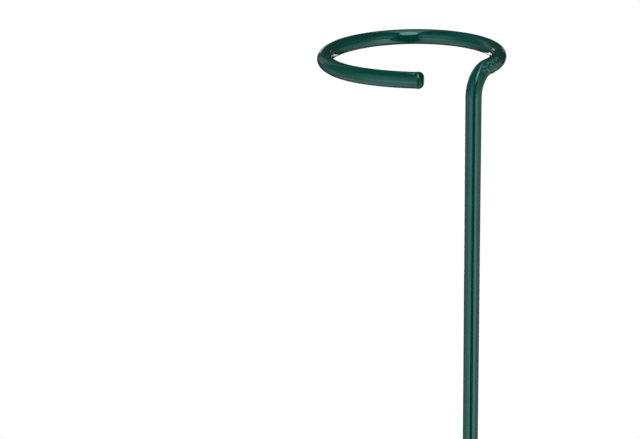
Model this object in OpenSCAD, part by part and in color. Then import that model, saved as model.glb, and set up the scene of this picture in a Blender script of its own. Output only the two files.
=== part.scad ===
// Plant support stake: one coated steel wire with a straight leg, a tight elbow and an open ring for a stem.
// The leg stands along +Z with its ground end at the origin. The elbow turns the wire level, towards +X, and
// the ring turns on from there. A stem comes in sideways, through the mouth between the ring's end and the leg.

/* [Stake] */
// Height from the ground end to the top of the ring
stake_h = 900; // [450:10:1800]

/* [Wire] */
// Diameter of the steel core
core_d = 5; // [3:0.1:8]
// Thickness of the plastic coating
coat_wall = 0.45; // [0.3:0.05:1.2]
// Room between the core and the coating, on each side
coat_gap = 0.05; // [0.01:0.01:0.1]

/* [Elbow] */
// Radius of the elbow between leg and ring, on the inside of the bend
elbow_inner_r = 6.4; // [3:0.1:40]

/* [Ring] */
// Clear width across the round part of the ring, which is three quarters of a circle
ring_clear_d = 60; // [40:1:150]
// Clear radius of the flatter stretch that ends the ring
tail_inner_r = 47; // [35:1:200]
// Length of that stretch along the wire, out to the tip of its cap
tail_len = 24; // [10:0.5:32]

/* [End caps] */
// Length of an end cap
cap_len = 3; // [2.9:0.1:4.5]
// Thickness of a cap's closed end
cap_end_wall = 1.2; // [0.9:0.1:1.8]
// Height by which a cap stands proud of the coating
cap_proud = 0.1; // [0.02:0.01:0.2]
// Length over which a cap rises from the coating to its full width
cap_taper = 0.8; // [0.2:0.1:0.9]
// Radius of the rounded rim at a cap's closed end
cap_rim_r = 2; // [0.5:0.1:2.1]
// Room between the core and the side of a cap's socket
cap_side_gap = 0.1; // [0.05:0.01:0.2]
// Room between the core and the bottom of a cap's socket
cap_end_gap = 0.2; // [0.15:0.01:0.4]

/* [Hidden] */
$fn = 48;

steel = "silver";
green = "#24594e";

// Distance that a cut runs past the face that it opens
overrun = 1;

// Diameters of the coating's bore and of the coated wire
coat_bore_d = core_d + 2 * coat_gap;
wire_d = coat_bore_d + 2 * coat_wall;

// Radii of the elbow, the ring and its flatter end, on the centre line of the wire
elbow_r = elbow_inner_r + wire_d / 2;
ring_r = (ring_clear_d + wire_d) / 2;
tail_r = tail_inner_r + wire_d / 2;

// Heights of the ring's centre line, and of the place where the leg passes into the elbow
ring_z = stake_h - wire_d / 2;
elbow_z = ring_z - elbow_r;

// Centres that the ring and its flatter end turn about
ring_centre = [elbow_r, ring_r, ring_z];
tail_centre = ring_centre + [tail_r - ring_r, 0, 0];

// Greatest radius of a cap, the radius and depth of its socket, and how far the core stays from its tip
cap_r = wire_d / 2 + cap_proud;
socket_r = core_d / 2 + cap_side_gap;
socket_depth = cap_len - cap_end_wall;
core_setback = cap_end_wall + cap_end_gap;

// Angle that the ring's flatter end turns through over a length of wire
function tail_angle(length) = length / tail_r * 180 / PI;

// Turns a flat section about the vertical through a centre, from one heading on through an angle
module turn(centre, radius, heading, angle) {
    translate(centre)
        rotate([0, 0, heading])
            rotate_extrude(angle = angle)
                translate([radius, 0])
                    children();
}

// Carries a flat section along the wire, starting and stopping a setback short of the stake's two ends
module along_wire(setback) {
    translate([0, 0, setback])
        linear_extrude(height = elbow_z - setback)
            children();
    translate([elbow_r, 0, elbow_z])
        rotate([90, 0, 0])
            turn([0, 0, 0], elbow_r, 90, 90)
                children();
    turn(ring_centre, ring_r, -90, 270)
        children();
    turn(tail_centre, tail_r, 180, tail_angle(tail_len - setback))
        children();
}

// Cap with its mouth at the origin and its closed end up
module end_cap() {
    rotate_extrude()
        difference() {
            union() {
                polygon([
                    [0, 0],
                    [wire_d / 2, 0],
                    [cap_r, cap_taper],
                    [cap_r, cap_len - cap_rim_r],
                    [cap_r - cap_rim_r, cap_len],
                    [0, cap_len]
                ]);
                translate([cap_r - cap_rim_r, cap_len - cap_rim_r])
                    intersection() {
                        circle(r = cap_rim_r);
                        square(cap_rim_r);
                    }
            }
            translate([0, -overrun])
                square([socket_r, socket_depth + overrun]);
        }
}

// Bent steel wire, bare at both ends where the caps go on
module steel_core() {
    color(steel)
        along_wire(core_setback)
            circle(d = core_d);
}

// Plastic sleeve along the whole wire, from the mouth of one cap to the mouth of the other
module plastic_coating() {
    color(green)
        along_wire(cap_len)
            difference() {
                circle(d = wire_d);
                circle(d = coat_bore_d);
            }
}

// Cap on the free end of the ring
module ring_end_cap() {
    color(green)
        translate(tail_centre)
            rotate([0, 0, tail_angle(tail_len - cap_len) - 180])
                translate([tail_r, 0, 0])
                    rotate([-90, 0, 0])
                        end_cap();
}

// Cap on the end of the leg that goes into the ground
module ground_end_cap() {
    color(green)
        translate([0, 0, cap_len])
            rotate([180, 0, 0])
                end_cap();
}

steel_core();
plastic_coating();
ring_end_cap();
ground_end_cap();
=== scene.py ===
"""Looks of the plant support ring stake: a green coated wire with a leg, an elbow, an open ring and two caps.

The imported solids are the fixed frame. The coating and the two caps are made again here in finer meshes of
the same sizes, the steel core keeps its own solid, and a plain studio with the photograph's camera goes
round them. Lengths are in metres.
"""

import logging
import math
from dataclasses import dataclass
from enum import Enum

import bmesh
import bpy
from mathutils import Matrix, Vector


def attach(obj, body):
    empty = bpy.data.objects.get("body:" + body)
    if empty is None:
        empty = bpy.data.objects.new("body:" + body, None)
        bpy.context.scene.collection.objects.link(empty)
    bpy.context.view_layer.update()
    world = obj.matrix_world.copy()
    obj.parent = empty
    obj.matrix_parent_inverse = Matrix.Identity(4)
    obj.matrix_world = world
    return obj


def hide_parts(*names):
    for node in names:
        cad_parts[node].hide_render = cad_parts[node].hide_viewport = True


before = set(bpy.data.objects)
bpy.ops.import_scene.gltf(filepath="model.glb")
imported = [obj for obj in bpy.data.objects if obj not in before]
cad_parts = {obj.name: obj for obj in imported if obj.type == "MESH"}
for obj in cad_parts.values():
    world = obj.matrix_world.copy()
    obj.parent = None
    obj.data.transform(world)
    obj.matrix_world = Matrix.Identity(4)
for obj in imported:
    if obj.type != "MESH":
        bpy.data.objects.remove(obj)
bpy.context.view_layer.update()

LOG = logging.getLogger("stake")

# Edges that bend more than this stay sharp, and points nearer than this are one
SHARP_ANGLE = math.radians(40.0)
MERGE_DISTANCE = 1e-7

UP = Vector((0.0, 0.0, 1.0))
WHITE = (1.0, 1.0, 1.0, 1.0)

Socket = bpy.types.NodeSocket
Colour = tuple[float, float, float]
Stops = tuple[tuple[float, float], ...]
Outline = tuple[tuple[float, float], ...]
Edges = list[bmesh.types.BMEdge]


class Slot(Enum):
    """The record's material slots."""

    STEEL = "steel"
    COATING = "green_coating"
    CAP = "green_cap"


class Ends(Enum):
    """The two ends of the wire that take a cap."""

    RING = "ring_end_cap"
    GROUND = "ground_end_cap"


class Wiring:
    """Places nodes in one node tree and joins their sockets."""

    def __init__(self, tree: bpy.types.NodeTree) -> None:
        """Keeps the tree and empties it.

        Args:
            tree: The node tree to fill.
        """
        self.tree = tree
        tree.nodes.clear()

    def add(self, kind: str, **settings: object) -> bpy.types.Node:
        """Adds a node.

        Args:
            kind: The node's type, without its ShaderNode beginning where it has one.
            settings: Properties of the node, by name.

        Returns:
            The new node.
        """
        full = kind if kind.startswith("Node") else "ShaderNode" + kind
        node = self.tree.nodes.new(full)
        for name, value in settings.items():
            setattr(node, name, value)
        return node

    def join(self, start: Socket, end: Socket) -> None:
        """Joins an output to an input."""
        self.tree.links.new(start, end)

    def feed(self, value: object, place: Socket) -> None:
        """Gives an input its value.

        Args:
            value: A socket to join, or a value to set.
            place: The input.
        """
        if isinstance(value, Socket):
            self.join(value, place)
        else:
            place.default_value = value

    def split(self, vector: Socket) -> bpy.types.Node:
        """Takes a vector apart.

        Args:
            vector: The vector's socket.

        Returns:
            A node with the outputs X, Y and Z.
        """
        node = self.add("SeparateXYZ")
        self.join(vector, node.inputs["Vector"])
        return node

    def sums(self, operation: str, first: object, second: object, clamp: bool = False) -> Socket:
        """Adds a Math node.

        Args:
            operation: The sum to do, by Blender's name.
            first: A socket, or a number to set.
            second: A socket, or a number to set.
            clamp: Whether the result stays from 0 to 1.

        Returns:
            The result's socket.
        """
        node = self.add("Math", operation=operation, use_clamp=clamp)
        self.feed(first, node.inputs[0])
        self.feed(second, node.inputs[1])
        return node.outputs[0]

    def ranged(self, value: Socket, low: float, high: float, to_low: float, to_high: float) -> Socket:
        """Maps a value smoothly from one range to another.

        Args:
            value: The socket to map.
            low: Start of the range that comes in.
            high: End of the range that comes in.
            to_low: What the start becomes.
            to_high: What the end becomes.

        Returns:
            The mapped value's socket.
        """
        node = self.add("MapRange", interpolation_type="SMOOTHSTEP")
        self.join(value, node.inputs["Value"])
        limits = {"From Min": low, "From Max": high, "To Min": to_low, "To Max": to_high}
        for name, number in limits.items():
            node.inputs[name].default_value = number
        return node.outputs["Result"]

    def mixed(self, factor: Socket, first: Socket | Colour, second: Socket | Colour) -> Socket:
        """Mixes two colours.

        Args:
            factor: How much of the second colour there is.
            first: The colour where the factor is 0, or its socket.
            second: The colour where the factor is 1, or its socket.

        Returns:
            The mixed colour's socket.
        """
        node = self.add("Mix", data_type="RGBA")
        self.join(factor, node.inputs["Factor"])
        for place, value in ((node.inputs[6], first), (node.inputs[7], second)):
            self.feed(value if isinstance(value, Socket) else (*value, 1.0), place)
        return node.outputs[2]

    def levels(self, value: Socket, stops: Stops) -> Socket:
        """Reads a level off a row of stops.

        Args:
            value: Where on the row, from 0 to 1.
            stops: Places and their levels, from first to last.

        Returns:
            The level's socket.
        """
        most = max(level for _, level in stops)
        node = self.add("FloatCurve")
        points = node.mapping.curves[0].points
        points[0].location = (stops[0][0], stops[0][1] / most)
        points[1].location = (stops[-1][0], stops[-1][1] / most)
        for where, level in stops[1:-1]:
            points.new(where, level / most)
        for point in points:
            point.handle_type = "AUTO_CLAMPED"
        node.mapping.update()
        self.join(value, node.inputs["Value"])
        return self.sums("MULTIPLY", node.outputs["Value"], most)


class Effect(Enum):
    """Surface effects that a finish can place, each a node group."""

    DRAWN_LINES = "drawn_lines"
    SOFT_MOTTLE = "soft_mottle"
    RUB_MARKS = "rub_marks"


class Effects:
    """Builds each effect's node group once."""

    made: dict[Effect, bpy.types.NodeTree] = {}

    # How fine and how rough each noise is, and the stretch of its values that counts
    line_detail = 3.0
    line_grain = 0.55
    line_range = (0.35, 0.7)
    mottle_detail = 2.0
    mottle_range = (0.3, 0.7)
    speck_detail = 4.0
    speck_grain = 0.65
    speck_range = (0.55, 0.60)
    haze_range = (0.38, 0.50)
    haze_least = 0.1

    @classmethod
    def get(cls, effect: Effect) -> bpy.types.NodeTree:
        """Gives an effect's node group.

        Args:
            effect: The effect.

        Returns:
            Its node group, made on first use.
        """
        if effect not in cls.made:
            makers = {
                Effect.DRAWN_LINES: cls._drawn_lines,
                Effect.SOFT_MOTTLE: cls._soft_mottle,
                Effect.RUB_MARKS: cls._rub_marks,
            }
            cls.made[effect] = makers[effect]()
        return cls.made[effect]

    @staticmethod
    def _start(
        effect: Effect, values: tuple[str, ...], outputs: tuple[str, ...]
    ) -> tuple[Wiring, bpy.types.Node, bpy.types.Node]:
        """Starts a group with a position, some values in, and some values out.

        Args:
            effect: The effect that the group is named after.
            values: Names of the numbers that go in.
            outputs: Names of the numbers that come out.

        Returns:
            The group's wiring, its input node and its output node.
        """
        tree = bpy.data.node_groups.new(effect.value, "ShaderNodeTree")
        tree.interface.new_socket("Position", in_out="INPUT", socket_type="NodeSocketVector")
        for value in values:
            tree.interface.new_socket(value, in_out="INPUT", socket_type="NodeSocketFloat")
        for output in outputs:
            tree.interface.new_socket(output, in_out="OUTPUT", socket_type="NodeSocketFloat")
        wiring = Wiring(tree)
        return wiring, wiring.add("NodeGroupInput"), wiring.add("NodeGroupOutput")

    @classmethod
    def _drawn_lines(cls) -> bpy.types.NodeTree:
        """Makes fine lines along a wire, as a die leaves them.

        Returns:
            The node group.
        """
        wiring, inside, outside = cls._start(Effect.DRAWN_LINES, ("Across", "Along"), ("Height", "Streak"))
        stretch = wiring.add("CombineXYZ")
        for axis, name in (("X", "Across"), ("Y", "Across"), ("Z", "Along")):
            wiring.join(inside.outputs[name], stretch.inputs[axis])
        spread = wiring.add("VectorMath", operation="MULTIPLY")
        wiring.join(inside.outputs["Position"], spread.inputs[0])
        wiring.join(stretch.outputs["Vector"], spread.inputs[1])
        noise = wiring.add("TexNoise")
        noise.inputs["Scale"].default_value = 1.0
        noise.inputs["Detail"].default_value = cls.line_detail
        noise.inputs["Roughness"].default_value = cls.line_grain
        wiring.join(spread.outputs["Vector"], noise.inputs["Vector"])
        wiring.join(noise.outputs["Fac"], outside.inputs["Height"])
        streak = wiring.ranged(noise.outputs["Fac"], *cls.line_range, 0.0, 1.0)
        wiring.join(streak, outside.inputs["Streak"])
        return wiring.tree

    @classmethod
    def _soft_mottle(cls) -> bpy.types.NodeTree:
        """Makes slow, soft clouds of light and dark.

        Returns:
            The node group.
        """
        wiring, inside, outside = cls._start(Effect.SOFT_MOTTLE, ("Scale",), ("Value",))
        noise = wiring.add("TexNoise")
        noise.inputs["Detail"].default_value = cls.mottle_detail
        wiring.join(inside.outputs["Position"], noise.inputs["Vector"])
        wiring.join(inside.outputs["Scale"], noise.inputs["Scale"])
        wiring.join(wiring.ranged(noise.outputs["Fac"], *cls.mottle_range, 0.0, 1.0), outside.inputs["Value"])
        return wiring.tree

    @classmethod
    def _rub_marks(cls) -> bpy.types.NodeTree:
        """Makes a dull haze, which also carries painted sheen where it lightens a colour, and small specks
        and scrapes, inside a given place.

        Returns:
            The node group.
        """
        wiring, inside, outside = cls._start(Effect.RUB_MARKS, ("Place", "Scale"), ("Haze", "Specks"))
        noise = wiring.add("TexNoise")
        noise.inputs["Detail"].default_value = cls.speck_detail
        noise.inputs["Roughness"].default_value = cls.speck_grain
        wiring.join(inside.outputs["Position"], noise.inputs["Vector"])
        wiring.join(inside.outputs["Scale"], noise.inputs["Scale"])
        place = inside.outputs["Place"]
        specks = wiring.ranged(noise.outputs["Fac"], *cls.speck_range, 0.0, 1.0)
        wiring.join(wiring.sums("MULTIPLY", specks, place, True), outside.inputs["Specks"])
        haze_and_sheen = wiring.ranged(noise.outputs["Fac"], *cls.haze_range, cls.haze_least, 1.0)
        wiring.join(wiring.sums("MULTIPLY", haze_and_sheen, place, True), outside.inputs["Haze"])
        return wiring.tree


class Surface:
    """One material under way: its wiring, its shader and the effects placed in it."""

    def __init__(self, name: str) -> None:
        """Starts a material with a Principled shader.

        Args:
            name: The material's name.
        """
        self.material = bpy.data.materials.new(name)
        self.material.use_nodes = True
        self.wiring = Wiring(self.material.node_tree)
        self.shader = self.wiring.add("BsdfPrincipled")
        self.output = self.wiring.add("OutputMaterial")
        self.wiring.join(self.shader.outputs[0], self.output.inputs["Surface"])

    def effect(self, effect: Effect, position: Socket, **values: object) -> bpy.types.Node:
        """Places an effect.

        Args:
            effect: The effect.
            position: Where the pattern is read.
            values: The effect's other inputs, by name, as numbers or sockets.

        Returns:
            The group's node.
        """
        node = self.wiring.add("Group", node_tree=Effects.get(effect))
        self.wiring.join(position, node.inputs["Position"])
        for name, value in values.items():
            self.wiring.feed(value, node.inputs[name])
        return node

    def bump(self, height: Socket, strength: float, distance: float) -> None:
        """Lets a height shape the shader's normal.

        Args:
            height: The height's socket.
            strength: Share of the effect that shows.
            distance: Height of the relief.
        """
        node = self.wiring.add("Bump")
        node.inputs["Strength"].default_value = strength
        node.inputs["Distance"].default_value = distance
        self.wiring.join(height, node.inputs["Height"])
        self.wiring.join(node.outputs["Normal"], self.shader.inputs["Normal"])


@dataclass(frozen=True)
class GlossPlastic:
    """Deep green plastic: a tinted inner layer under a clear gloss, with die lines and soft clouds.

    A stretch of it may be rubbed, with a lighter haze that is partly worn plastic and partly painted sheen,
    and an end may be dull and darkened with painted shade. Both are places along the straight wire or cap,
    and each is left out where its end isn't past its start.
    """

    name: str
    colour: Colour = (0.002, 0.055, 0.042)
    cloud_colour: Colour = (0.003, 0.062, 0.048)
    cloud_scale: float = 70.0
    ior: float = 1.5
    inner_tint: Colour = (0.05, 1.0, 0.87)
    inner_shine: float = 0.62
    inner_roughness: float = 0.10
    gloss_roughness: float = 0.03
    lines_across: float = 1500.0
    lines_along: float = 6.0
    line_roughness: float = 0.06
    line_depth: float = 0.00002
    line_strength: float = 0.5
    rub_start: float = 0.0
    rub_end: float = 0.0
    rub_fade: float = 0.003
    rub_full_y: float = -0.0022
    rub_none_y: float = -0.0006
    rub_scale: float = 850.0
    # The worn haze colour is lighter than the plastic: partly worn plastic, partly painted sheen
    worn_and_sheen_colour: Colour = (0.040, 0.110, 0.098)
    scraped_colour: Colour = (0.130, 0.240, 0.215)
    worn_and_sheen_share: float = 0.5
    speck_share: float = 0.9
    haze_roughness: float = 0.12
    haze_coat: float = 0.6
    dull_and_shade_start: float = 0.0
    dull_and_shade_end: float = 0.0
    # Painted shade: a darker colour for the cap's closed end
    painted_shade_colour: Colour = (0.001, 0.022, 0.017)
    dull_roughness: float = 0.2
    dull_coat: float = 0.3

    def material(self) -> bpy.types.Material:
        """Makes the material.

        Returns:
            The material, which reads the piece's own straight attribute.
        """
        surface = Surface(self.name)
        wiring, shader = surface.wiring, surface.shader
        shader.inputs["IOR"].default_value = self.ior
        shader.inputs["Specular IOR Level"].default_value = self.inner_shine
        shader.inputs["Specular Tint"].default_value = (*self.inner_tint, 1.0)
        shader.inputs["Coat Weight"].default_value = 1.0
        shader.inputs["Coat Roughness"].default_value = self.gloss_roughness
        shader.inputs["Coat IOR"].default_value = self.ior
        straight = wiring.add("Attribute", attribute_name="straight").outputs["Vector"]
        lines = surface.effect(
            Effect.DRAWN_LINES, straight, Across=self.lines_across, Along=self.lines_along
        )
        clouds = surface.effect(Effect.SOFT_MOTTLE, straight, Scale=self.cloud_scale)
        tone = wiring.mixed(clouds.outputs["Value"], self.colour, self.cloud_colour)
        roughest = self.inner_roughness + self.line_roughness
        polish = wiring.ranged(lines.outputs["Streak"], 0.0, 1.0, self.inner_roughness, roughest)
        if self.rub_end > self.rub_start:
            tone, polish = self._rub_and_sheen(surface, straight, tone, polish)
        if self.dull_and_shade_end > self.dull_and_shade_start:
            tone, polish = self._dull_and_shade(surface, straight, tone, polish)
        wiring.join(tone, shader.inputs["Base Color"])
        wiring.join(polish, shader.inputs["Roughness"])
        surface.bump(lines.outputs["Height"], self.line_strength, self.line_depth)
        return surface.material

    def _rub_and_sheen(
        self, surface: Surface, straight: Socket, tone: Socket, polish: Socket
    ) -> tuple[Socket, Socket]:
        """Adds the rub marks with a lighter haze that is partly worn plastic and partly painted sheen, and
        thins the gloss over them.

        Args:
            surface: The material under way.
            straight: Places on the straight wire.
            tone: The colour so far.
            polish: The roughness so far.

        Returns:
            The colour and the roughness with the marks and the painted sheen.
        """
        wiring = surface.wiring
        place = self._rub_place(wiring, straight)
        rubbed = surface.effect(Effect.RUB_MARKS, straight, Place=place, Scale=self.rub_scale)
        haze_and_sheen, specks = rubbed.outputs["Haze"], rubbed.outputs["Specks"]
        # Worn plastic with painted sheen: the haze lightens the colour towards the worn colour
        tone = wiring.mixed(wiring.sums("MULTIPLY", haze_and_sheen, self.worn_and_sheen_share), tone, self.worn_and_sheen_colour)
        tone = wiring.mixed(wiring.sums("MULTIPLY", specks, self.speck_share), tone, self.scraped_colour)
        polish = wiring.sums("ADD", polish, wiring.sums("MULTIPLY", haze_and_sheen, self.haze_roughness))
        thinned = wiring.ranged(haze_and_sheen, 0.0, 1.0, 1.0, self.haze_coat)
        wiring.join(thinned, surface.shader.inputs["Coat Weight"])
        return tone, polish

    def _rub_place(self, wiring: Wiring, straight: Socket) -> Socket:
        """Finds the rubbed stretch, on the side of the wire that faces -Y when it is straight.

        Args:
            wiring: The material's wiring.
            straight: Places on the straight wire.

        Returns:
            A socket that is 1 in that place and 0 elsewhere.
        """
        parts = wiring.split(straight)
        along = parts.outputs["Z"]
        begins = wiring.ranged(along, self.rub_start, self.rub_start + self.rub_fade, 0.0, 1.0)
        stops = wiring.ranged(along, self.rub_end - self.rub_fade, self.rub_end, 1.0, 0.0)
        side = wiring.ranged(parts.outputs["Y"], self.rub_full_y, self.rub_none_y, 1.0, 0.0)
        return wiring.sums("MULTIPLY", wiring.sums("MULTIPLY", begins, stops), side, True)

    def _dull_and_shade(
        self, surface: Surface, straight: Socket, tone: Socket, polish: Socket
    ) -> tuple[Socket, Socket]:
        """Darkens the end with painted shade, dulls it, and thins the gloss over it.

        Args:
            surface: The material under way.
            straight: Places on the straight cap.
            tone: The colour so far.
            polish: The roughness so far.

        Returns:
            The colour and the roughness with the dull end and its painted shade.
        """
        wiring = surface.wiring
        along = wiring.split(straight).outputs["Z"]
        dulled_and_shaded = wiring.ranged(along, self.dull_and_shade_start, self.dull_and_shade_end, 0.0, 1.0)
        # Painted shade: the colour darkens towards the closed end, while the roughness and thinner coat dull
        # it
        tone = wiring.mixed(dulled_and_shaded, tone, self.painted_shade_colour)
        polish = wiring.sums("ADD", polish, wiring.sums("MULTIPLY", dulled_and_shaded, self.dull_roughness))
        thinned = wiring.ranged(dulled_and_shaded, 0.0, 1.0, 1.0, self.dull_coat)
        wiring.join(thinned, surface.shader.inputs["Coat Weight"])
        return tone, polish


@dataclass(frozen=True)
class DrawnSteel:
    """Bare drawn wire: grey steel with die lines and soft clouds of tarnish."""

    name: str
    colour: Colour = (0.56, 0.57, 0.58)
    tarnish: Colour = (0.40, 0.41, 0.42)
    tarnish_scale: float = 40.0
    roughness: float = 0.28
    lines_across: float = 2200.0
    lines_along: float = 8.0
    line_roughness: float = 0.12
    line_depth: float = 0.00001
    line_strength: float = 0.5

    def material(self) -> bpy.types.Material:
        """Makes the material.

        Returns:
            The material, which reads Object coordinates.
        """
        surface = Surface(self.name)
        wiring, shader = surface.wiring, surface.shader
        shader.inputs["Metallic"].default_value = 1.0
        place = wiring.add("TexCoord").outputs["Object"]
        lines = surface.effect(Effect.DRAWN_LINES, place, Across=self.lines_across, Along=self.lines_along)
        clouds = surface.effect(Effect.SOFT_MOTTLE, place, Scale=self.tarnish_scale)
        tone = wiring.mixed(clouds.outputs["Value"], self.colour, self.tarnish)
        roughest = self.roughness + self.line_roughness
        polish = wiring.ranged(lines.outputs["Streak"], 0.0, 1.0, self.roughness, roughest)
        wiring.join(tone, shader.inputs["Base Color"])
        wiring.join(polish, shader.inputs["Roughness"])
        surface.bump(lines.outputs["Height"], self.line_strength, self.line_depth)
        return surface.material


@dataclass(frozen=True)
class WireRun:
    """The bent line that the wire follows, with the part's own sizes."""

    stake_h: float = 0.900
    wire_r: float = 0.003
    elbow_r: float = 0.0094
    elbow_turn: float = math.pi / 2
    elbow_steps: int = 40
    ring_r: float = 0.033
    ring_turn: float = math.pi * 1.5
    ring_steps: int = 240
    tail_r: float = 0.050
    tail_len: float = 0.024
    tail_steps: int = 24

    @property
    def ring_z(self) -> float:
        """Height of the ring's centre line."""
        return self.stake_h - self.wire_r

    @property
    def elbow_z(self) -> float:
        """Height at which the elbow starts, which is also the length along the wire to it."""
        return self.ring_z - self.elbow_r

    @property
    def elbow_centre(self) -> Vector:
        """Centre of the elbow's bend."""
        return Vector((self.elbow_r, 0.0, self.elbow_z))

    @property
    def ring_centre(self) -> Vector:
        """Centre of the round ring."""
        return Vector((self.elbow_r, self.ring_r, self.ring_z))

    @property
    def tail_centre(self) -> Vector:
        """Centre of the ring's flatter end."""
        return self.ring_centre + Vector((self.tail_r - self.ring_r, 0.0, 0.0))

    @property
    def ring_start(self) -> float:
        """Length along the wire to the start of the ring."""
        return self.elbow_z + self.elbow_r * self.elbow_turn

    @property
    def tail_start(self) -> float:
        """Length along the wire to the start of the flatter end."""
        return self.ring_start + self.ring_r * self.ring_turn

    def sweep(self, bm: bmesh.types.BMesh, radius: float, sides: int, trim: float) -> tuple[Edges, Edges]:
        """Carries a circle along the whole wire.

        Args:
            bm: The mesh that takes the tube.
            radius: The circle's radius.
            sides: Number of the circle's edges.
            trim: How far the tube stays short of the wire's two ends.

        Returns:
            The edges of the tube's first circle and of its last.
        """
        made = bmesh.ops.create_circle(
            bm, cap_ends=False, segments=sides, radius=radius, matrix=Matrix.Translation((0.0, 0.0, trim))
        )
        first = list({edge for vert in made["verts"] for edge in vert.link_edges})
        leg = bmesh.ops.extrude_edge_only(bm, edges=first)["geom"]
        raised = [item for item in leg if isinstance(item, bmesh.types.BMVert)]
        bmesh.ops.translate(bm, verts=raised, vec=(0.0, 0.0, self.elbow_z - trim))
        front = raised + self._between(raised)
        tail_turn = (self.tail_len - trim) / self.tail_r
        turns = (
            (self.elbow_centre, Vector((0.0, 1.0, 0.0)), self.elbow_turn, self.elbow_steps),
            (self.ring_centre, UP, self.ring_turn, self.ring_steps),
            (self.tail_centre, UP, tail_turn, self.tail_steps),
        )
        for centre, axis, angle, steps in turns:
            turned = bmesh.ops.spin(bm, geom=front, cent=centre, axis=axis, angle=angle, steps=steps)
            front = turned["geom_last"]
        ends = [item for item in front if isinstance(item, bmesh.types.BMVert)]
        return first, self._between(ends)

    @staticmethod
    def _between(verts: list[bmesh.types.BMVert]) -> Edges:
        """Gives the edges that have both ends among some vertices."""
        known = set(verts)
        return list({edge for vert in verts for edge in vert.link_edges if edge.other_vert(vert) in known})

    def straighten(self, place: Vector) -> Vector:
        """Finds where a point of the bent wire lies on the straight wire.

        Args:
            place: A point on or in the bent wire.

        Returns:
            The point on the straight wire, whose length runs along Z.
        """
        if place.z <= self.elbow_z and place.y < self.ring_r / 2 and place.x < self.elbow_r / 2:
            return place.copy()
        from_elbow = place - self.elbow_centre
        if place.x < self.elbow_r and abs(place.y) < self.elbow_r / 2:
            angle = math.atan2(from_elbow.z, -from_elbow.x)
            reach = math.hypot(from_elbow.x, from_elbow.z)
            return Vector((self.elbow_r - reach, place.y, self.elbow_z + self.elbow_r * angle))
        from_ring = place - self.ring_centre
        angle = math.atan2(from_ring.x, -from_ring.y) % (2 * math.pi)
        if angle <= self.ring_turn:
            reach = math.hypot(from_ring.x, from_ring.y)
            return Vector((-from_ring.z, self.ring_r - reach, self.ring_start + self.ring_r * angle))
        from_tail = place - self.tail_centre
        angle = math.atan2(-from_tail.y, -from_tail.x)
        reach = math.hypot(from_tail.x, from_tail.y)
        return Vector((-from_tail.z, self.tail_r - reach, self.tail_start + self.tail_r * angle))


def finish_piece(
    bm: bmesh.types.BMesh, name: str, node: str, material: bpy.types.Material
) -> bpy.types.Object:
    """Turns a mesh under way into a piece that stands for a solid.

    Args:
        bm: The mesh under way, which is freed.
        name: The piece's name.
        node: The solid that it stands for.
        material: Its material.

    Returns:
        The finished piece.
    """
    for face in bm.faces:
        face.smooth = True
    mesh = bpy.data.meshes.new(name)
    bm.to_mesh(mesh)
    bm.free()
    mesh.set_sharp_from_angle(angle=SHARP_ANGLE)
    mesh.materials.append(material)
    piece = bpy.data.objects.new(name, mesh)
    bpy.context.scene.collection.objects.link(piece)
    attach(piece, "root")
    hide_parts(node)
    LOG.info("%s: %d faces", name, len(mesh.polygons))
    return piece


@dataclass
class Coating:
    """The green sleeve along the whole wire."""

    run: WireRun
    finish: GlossPlastic
    bore_r: float = 0.00255
    trim: float = 0.003
    sides: int = 56

    def build(self) -> bpy.types.Object:
        """Makes the sleeve.

        Returns:
            The finished piece.
        """
        bm = bmesh.new()
        outer = self.run.sweep(bm, self.run.wire_r, self.sides, self.trim)
        inner = self.run.sweep(bm, self.bore_r, self.sides, self.trim)
        for outside, inside in zip(outer, inner):
            bmesh.ops.bridge_loops(bm, edges=outside + inside)
        bmesh.ops.recalc_face_normals(bm, faces=bm.faces)
        straight = bm.verts.layers.float_vector.new("straight")
        for vert in bm.verts:
            vert[straight] = self.run.straighten(vert.co)
        return finish_piece(bm, "coating", "plastic_coating", self.dress())

    def dress(self) -> bpy.types.Material:
        """Gives the sleeve's material."""
        return self.finish.material()


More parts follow.
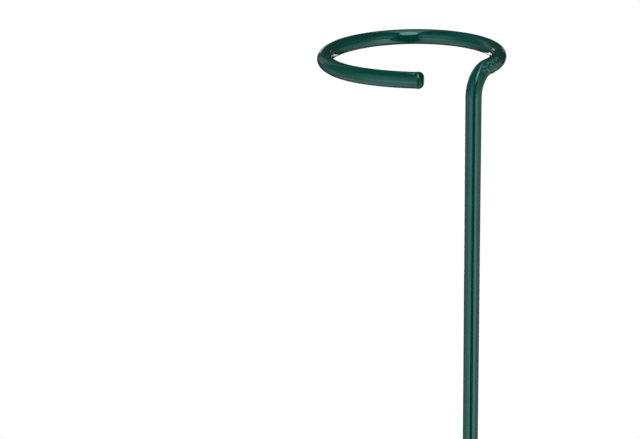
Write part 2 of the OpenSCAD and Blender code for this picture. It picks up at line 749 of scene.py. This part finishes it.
@dataclass
class EndCap:
    """A rounded plastic cap on one end of the wire."""

    run: WireRun
    finish: GlossPlastic
    end: Ends
    cap_r: float = 0.0031
    length: float = 0.003
    taper: float = 0.0008
    taper_round: float = 0.0001
    taper_steps: int = 4
    rim_r: float = 0.002
    rim_steps: int = 14
    socket_r: float = 0.0026
    socket_depth: float = 0.0018
    sides: int = 56

    def build(self) -> bpy.types.Object:
        """Makes the cap.

        Returns:
            The finished piece.
        """
        bm = bmesh.new()
        outline = (
            (0.0, self.socket_depth),
            (self.socket_r, self.socket_depth),
            (self.socket_r, 0.0),
            (self.run.wire_r, 0.0),
            (self.cap_r, self.taper),
            (self.cap_r, self.length),
            (0.0, self.length),
        )
        corners = [bm.verts.new((across, 0.0, up)) for across, up in outline]
        for one, other in zip(corners, corners[1:]):
            bm.edges.new((one, other))
        shoulder, rim = corners[4], corners[5]
        rounds = ((rim, self.rim_r, self.rim_steps), (shoulder, self.taper_round, self.taper_steps))
        for corner, offset, segments in rounds:
            bmesh.ops.bevel(
                bm, geom=[corner], offset=offset, offset_type="OFFSET", affect="VERTICES",
                segments=segments, profile=0.5, material=-1,
            )
        bmesh.ops.spin(
            bm, geom=bm.verts[:] + bm.edges[:], cent=(0.0, 0.0, 0.0), axis=UP,
            angle=2 * math.pi, steps=self.sides, use_merge=True,
        )
        bmesh.ops.remove_doubles(bm, verts=bm.verts, dist=MERGE_DISTANCE)
        bmesh.ops.recalc_face_normals(bm, faces=bm.faces)
        straight = bm.verts.layers.float_vector.new("straight")
        for vert in bm.verts:
            vert[straight] = vert.co
        bmesh.ops.transform(bm, matrix=self._place(), verts=bm.verts)
        return finish_piece(bm, self.end.value + "_moulding", self.end.value, self.dress())

    def dress(self) -> bpy.types.Material:
        """Gives the cap's material."""
        return self.finish.material()

    def _place(self) -> Matrix:
        """Finds where the cap sits.

        Returns:
            The matrix that takes the cap from the origin to its end of the wire.
        """
        if self.end is Ends.GROUND:
            return Matrix.Translation((0.0, 0.0, self.length)) @ Matrix.Rotation(math.pi, 4, "X")
        angle = (self.run.tail_len - self.length) / self.run.tail_r - math.pi
        return (
            Matrix.Translation(self.run.tail_centre)
            @ Matrix.Rotation(angle, 4, "Z")
            @ Matrix.Translation((self.run.tail_r, 0.0, 0.0))
            @ Matrix.Rotation(-math.pi / 2, 4, "X")
        )


@dataclass
class Core:
    """The steel wire inside, which keeps its own solid."""

    finish: DrawnSteel

    def dress(self) -> bpy.types.Object:
        """Gives the steel its material.

        Returns:
            The solid's own object.
        """
        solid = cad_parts["steel_core"]
        solid.data.materials.clear()
        solid.data.materials.append(self.finish.material())
        LOG.info("steel_core: %d faces", len(solid.data.polygons))
        return solid


@dataclass
class PhotoCamera:
    """The camera where the photograph's was, from the ring's centre, with angles in degrees."""

    aim: Vector
    azimuth: float = -56.979
    elevation: float = 13.945
    distance: float = 0.530
    pitch: float = 20.599
    yaw: float = 4.094
    roll: float = -1.843
    focal_pixels: float = 1379.175
    image_width: int = 640
    sensor_mm: float = 36.0
    nearest: float = 0.01
    farthest: float = 100.0

    def side(self) -> Vector:
        """Gives the level direction from the ring to the camera."""
        turn = math.radians(self.azimuth)
        return Vector((math.sin(turn), -math.cos(turn), 0.0))

    def build(self) -> bpy.types.Object:
        """Makes the camera and puts it in the scene.

        Returns:
            The camera.
        """
        rise = math.radians(self.elevation)
        back = self.side() * math.cos(rise) + UP * math.sin(rise)
        turn = math.radians(self.azimuth + self.yaw)
        dip = math.radians(self.pitch)
        roll = math.radians(self.roll)
        forward = -Vector((math.sin(turn) * math.cos(dip), -math.cos(turn) * math.cos(dip), math.sin(dip)))
        level = forward.cross(UP).normalized()
        above = level.cross(forward)
        right = math.cos(roll) * level + math.sin(roll) * above
        up = math.cos(roll) * above - math.sin(roll) * level
        data = bpy.data.cameras.new("photo_camera")
        data.sensor_width = self.sensor_mm
        data.lens = self.focal_pixels / self.image_width * data.sensor_width
        data.clip_start = self.nearest
        data.clip_end = self.farthest
        camera = bpy.data.objects.new("photo_camera", data)
        spin = Matrix((right, up, -forward)).transposed().to_4x4()
        camera.matrix_world = Matrix.Translation(self.aim + back * self.distance) @ spin
        bpy.context.scene.collection.objects.link(camera)
        bpy.context.scene.camera = camera
        return camera


class Face(Enum):
    """The outline of a lamp's face."""

    ROUND = "ELLIPSE"
    SQUARE = "RECTANGLE"


@dataclass(frozen=True)
class SoftBox:
    """A soft lamp with a flat face, whose brightness may change along its length."""

    name: str
    azimuth: float
    elevation: float
    distance: float
    length: float
    breadth: float
    glow: Stops
    aim: float = 0.897
    face: Face = Face.SQUARE
    in_gloss: bool = True
    upright: bool = False
    level: bool = False

    def build(self, studio: "Studio") -> bpy.types.Object:
        """Makes the lamp.

        Args:
            studio: The studio that it stands in.

        Returns:
            The lamp.
        """
        rise = math.radians(self.elevation)
        outward = studio.direction(self.azimuth) * math.cos(rise) + UP * math.sin(rise)
        centre = outward * self.distance + UP * self.aim
        back = UP if self.level else outward
        sideways = studio.direction(self.azimuth + 90.0)
        along = sideways if self.upright else back.cross(sideways)
        face_share = math.pi / 4 if self.face is Face.ROUND else 1.0
        lamp = bpy.data.lights.new(self.name, "AREA")
        lamp.shape = self.face.value
        lamp.size = self.length
        lamp.size_y = self.breadth
        lamp.energy = math.pi * self.length * self.breadth * face_share
        lamp.use_nodes = True
        wiring = Wiring(lamp.node_tree)
        parts = wiring.split(wiring.add("NewGeometry").outputs["Parametric"])
        shine = wiring.add("Emission")
        wiring.join(wiring.levels(parts.outputs["X"], self.glow), shine.inputs["Strength"])
        wiring.join(shine.outputs[0], wiring.add("OutputLight").inputs["Surface"])
        box = bpy.data.objects.new(self.name, lamp)
        spin = Matrix((along, back.cross(along), back)).transposed().to_4x4()
        box.matrix_world = Matrix.Translation(centre) @ spin
        box.visible_glossy = self.in_gloss
        bpy.context.scene.collection.objects.link(box)
        return box


@dataclass
class Studio:
    """A plain white floor, soft lamps, and a tent of cards that only the gloss sees."""

    camera_side: Vector
    room_light: float = 0.3
    room_seen: float = 1.0
    floor_r: float = 30.0
    floor_sides: int = 96
    floor_colour: Colour = (0.92, 0.92, 0.92)
    shadow_r: float = 0.35
    plain_r: float = 1.1
    tent_r: float = 1.25
    tent_h: float = 3.2
    tent_lift: float = 0.002
    tent_sides: int = 64
    skirt_share: float = 0.27
    side_away: float = 1.6
    side_length: float = 1.6
    side_breadth: float = 1.4

    def direction(self, azimuth: float) -> Vector:
        """Gives a level direction from the stake.

        Args:
            azimuth: Angle from the camera's side, to the camera's right, in degrees.

        Returns:
            The direction.
        """
        return Matrix.Rotation(math.radians(azimuth), 3, "Z") @ self.camera_side

    def build(self) -> None:
        """Makes the world, the floor, the tent and the lamps."""
        self._world()
        self._floor()
        self._tent()
        for box in self.shown_lamps() + self.side_lamps():
            box.build(self)

    @staticmethod
    def shown_lamps() -> tuple[SoftBox, ...]:
        """Lists the lamps that show in the gloss.

        Returns:
            A box over the camera, a strip on the ceiling and two low strips at the back.
        """
        soft = ((0.0, 0.4), (0.15, 1.0), (0.25, 1.8), (0.4, 2.7), (0.6, 2.9), (0.85, 2.8), (1.0, 1.6))
        fading = ((0.0, 0.15), (0.45, 0.2), (0.6, 0.32), (0.72, 0.75), (0.9, 1.15), (1.0, 1.3))
        right_low = ((0.0, 0.9), (0.3, 0.9), (0.5, 0.2), (1.0, 0.15))
        left_low = ((0.0, 1.4), (0.3, 1.4), (0.5, 0.5), (1.0, 0.5))
        return (
            SoftBox("overhead_box", 3.0, 60.0, 1.3, 1.32, 0.46, soft, face=Face.ROUND),
            SoftBox("ceiling_strip", 180.0, 55.0, 1.22, 1.5, 0.30, fading, level=True),
            SoftBox("right_strip", 164.0, -9.0, 1.15, 0.72, 0.18, right_low),
            SoftBox("left_strip", -167.0, -9.0, 1.15, 0.72, 0.22, left_low),
        )

    def side_lamps(self) -> tuple[SoftBox, ...]:
        """Lists the lamps that light the stake without showing in the gloss.

        Returns:
            An even box on either side of the camera, and another further round on either side.
        """
        places = (
            ("right_box", 65.0, 10.0, 1.1),
            ("left_box", -65.0, 12.0, 1.5),
            ("far_right_box", 105.0, 32.0, 0.9),
            ("far_left_box", -105.0, 32.0, 1.8),
        )
        return tuple(
            SoftBox(
                name, azimuth, elevation, self.side_away, self.side_length, self.side_breadth,
                ((0.0, level), (1.0, level)), upright=True, in_gloss=False,
            )
            for name, azimuth, elevation, level in places
        )

    @staticmethod
    def _card(name: str, bm: bmesh.types.BMesh, material: bpy.types.Material) -> bpy.types.Object:
        """Turns a mesh under way into a piece of the studio.

        Args:
            name: The card's name.
            bm: The mesh under way, which is freed.
            material: The card's material.

        Returns:
            The card.
        """
        mesh = bpy.data.meshes.new(name)
        bm.to_mesh(mesh)
        bm.free()
        mesh.materials.append(material)
        card = bpy.data.objects.new(name, mesh)
        bpy.context.scene.collection.objects.link(card)
        return card

    @staticmethod
    def _seen(wiring: Wiring) -> Socket:
        """Tells the rays that show the background from those that light the object.

        Args:
            wiring: The material's or the world's wiring.

        Returns:
            A socket that is 1 for camera, glossy and transmission rays.
        """
        rays = wiring.add("LightPath").outputs
        both = wiring.sums("MAXIMUM", rays["Is Camera Ray"], rays["Is Glossy Ray"])
        return wiring.sums("MAXIMUM", both, rays["Is Transmission Ray"])

    def _world(self) -> None:
        """Makes the white surroundings and their soft light."""
        world = bpy.data.worlds.new("white_room")
        bpy.context.scene.world = world
        world.use_nodes = True
        wiring = Wiring(world.node_tree)
        room = wiring.add("Background")
        strength = wiring.ranged(self._seen(wiring), 0.0, 1.0, self.room_light, self.room_seen)
        wiring.join(strength, room.inputs["Strength"])
        room.inputs["Color"].default_value = WHITE
        wiring.join(room.outputs[0], wiring.add("OutputWorld").inputs["Surface"])

    def _floor(self) -> None:
        """Makes the floor, which keeps the shadow round the stake and is plain white further off."""
        surface = Surface("white_floor")
        wiring, shader = surface.wiring, surface.shader
        shader.inputs["Base Color"].default_value = (*self.floor_colour, 1.0)
        shader.inputs["Roughness"].default_value = 1.0
        shader.inputs["Specular IOR Level"].default_value = 0.0
        reach = wiring.add("VectorMath", operation="LENGTH")
        wiring.join(wiring.add("TexCoord").outputs["Object"], reach.inputs[0])
        far = wiring.ranged(reach.outputs["Value"], self.shadow_r, self.plain_r, 0.0, 1.0)
        plain = wiring.add("Emission")
        both = wiring.add("MixShader")
        wiring.join(wiring.sums("MULTIPLY", far, self._seen(wiring)), both.inputs[0])
        wiring.join(shader.outputs[0], both.inputs[1])
        wiring.join(plain.outputs[0], both.inputs[2])
        wiring.join(both.outputs[0], surface.output.inputs["Surface"])
        bm = bmesh.new()
        bmesh.ops.create_circle(bm, cap_ends=True, segments=self.floor_sides, radius=self.floor_r)
        self._card("floor", bm, surface.material)

    def _tent(self) -> None:
        """Makes the tent: pale on both sides of the camera, dark towards it, above and at the back."""
        underfoot = (
            (-180.0, 0.06), (-135.0, 0.2), (-105.0, 0.55), (-35.0, 0.7), (-22.0, 0.45), (-16.0, 0.0),
            (21.0, 0.0), (27.0, 0.4), (35.0, 1.0), (45.0, 1.15), (65.0, 0.93), (105.0, 0.52), (135.0, 0.2),
            (180.0, 0.06),
        )
        below = (
            (-180.0, 0.0), (-147.0, 0.02), (-110.0, 0.24), (-75.0, 0.4), (-35.0, 0.98), (-18.0, 0.95),
            (-12.0, 0.0), (20.0, 0.0), (28.0, 0.95), (36.0, 1.4), (45.0, 1.35), (65.0, 0.7), (85.0, 0.4),
            (125.0, 0.22), (147.0, 0.02), (180.0, 0.0),
        )
        above = (
            (-180.0, 0.02), (-160.0, 0.03), (-140.0, 0.2), (-120.0, 0.05), (-95.0, 0.08), (-70.0, 0.3),
            (-45.0, 0.6), (-18.0, 0.6), (-11.0, 0.0), (19.0, 0.0), (28.0, 0.45), (40.0, 0.6), (55.0, 0.45),
            (75.0, 0.2), (115.0, 0.06), (150.0, 0.01), (180.0, 0.02),
        )
        outwards = ((0.0, 0.6), (0.2, 0.75), (0.35, 1.05), (0.5, 1.0), (0.75, 0.85), (1.0, 0.8))
        upwards = ((0.0, 1.0), (0.19, 1.0), (0.22, 0.9), (0.26, 0.62), (0.3, 0.45))
        overhead = ((0.26, 1.2), (0.3, 1.0), (0.45, 0.8), (0.6, 0.5), (0.7, 0.3), (0.85, 0.12), (1.0, 0.06))
        middle, foot = (0.0, self.tent_lift), (self.tent_r, self.tent_lift)
        chest = (self.tent_r, self.tent_h * self.skirt_share)
        eaves, peak = (self.tent_r, self.tent_h), (0.0, self.tent_h)
        self._cards("tent_floor", (middle, foot), underfoot, outwards, False)
        self._cards("tent_skirt", (foot, chest), below, upwards, True)
        self._cards("tent_wall", (chest, eaves, peak), above, overhead, True)

    def _cards(self, name: str, profile: Outline, around: Stops, away: Stops, by_height: bool) -> None:
        """Makes one round of cards that only reflections see, so that it neither shows nor shades.

        Args:
            name: The round's name.
            profile: Its outline, as distances from the stake and heights.
            around: Brightness by azimuth from the camera's side, in degrees, from the back by the left.
            away: Share of that brightness by height or by distance.
            by_height: Whether the share goes by height.
        """
        surface = Surface(name)
        wiring = surface.wiring
        place = wiring.add("TexCoord").outputs["Object"]
        heading = math.atan2(self.camera_side.y, self.camera_side.x)
        turned = wiring.add("Mapping", vector_type="TEXTURE")
        turned.inputs["Rotation"].default_value = (0.0, 0.0, heading)
        wiring.join(place, turned.inputs["Vector"])
        angle = wiring.add("TexGradient", gradient_type="RADIAL")
        wiring.join(turned.outputs["Vector"], angle.inputs["Vector"])
        if by_height:
            share = wiring.sums("DIVIDE", wiring.split(place).outputs["Z"], self.tent_h)
        else:
            reach = wiring.add("VectorMath", operation="LENGTH")
            wiring.join(place, reach.inputs[0])
            share = wiring.sums("DIVIDE", reach.outputs["Value"], self.tent_r)
        stops = tuple((0.5 + azimuth / 360.0, level) for azimuth, level in around)
        glow = wiring.sums("MULTIPLY", wiring.levels(angle.outputs["Fac"], stops), wiring.levels(share, away))
        paper = wiring.add("Emission")
        wiring.join(glow, paper.inputs["Strength"])
        wiring.join(paper.outputs[0], surface.output.inputs["Surface"])
        bm = bmesh.new()
        corners = [bm.verts.new((across, 0.0, up)) for across, up in profile]
        edges = [bm.edges.new(pair) for pair in zip(corners, corners[1:])]
        bmesh.ops.spin(
            bm, geom=corners + edges, cent=(0.0, 0.0, 0.0), axis=UP,
            angle=2 * math.pi, steps=self.tent_sides, use_merge=True,
        )
        bmesh.ops.remove_doubles(bm, verts=bm.verts, dist=MERGE_DISTANCE)
        card = self._card(name, bm, surface.material)
        card.visible_camera = False
        card.visible_diffuse = False
        card.visible_shadow = False
        card.visible_transmission = False


def main() -> None:
    """Builds the stake's pieces in order, then the studio round them."""
    logging.basicConfig(level=logging.INFO, format="%(name)s %(message)s")
    bpy.context.scene.view_settings.view_transform = "Standard"
    run = WireRun()
    camera = PhotoCamera(aim=run.ring_centre)
    camera.build()
    Core(DrawnSteel("drawn_steel")).dress()
    # The rubbed stretch by the elbow is worn, with painted sheen in its lighter haze
    rubbed = GlossPlastic("green_sleeve", rub_start=0.8955, rub_end=0.9100)
    Coating(run, rubbed).build()
    # The caps' closed ends are dulled and darkened with painted shade
    moulded = GlossPlastic("green_moulding", gloss_roughness=0.07, dull_and_shade_start=0.0014, dull_and_shade_end=0.0022)
    for end in Ends:
        EndCap(run, moulded, end).build()
    Studio(camera_side=camera.side()).build()


if __name__ == "__main__":
    main()
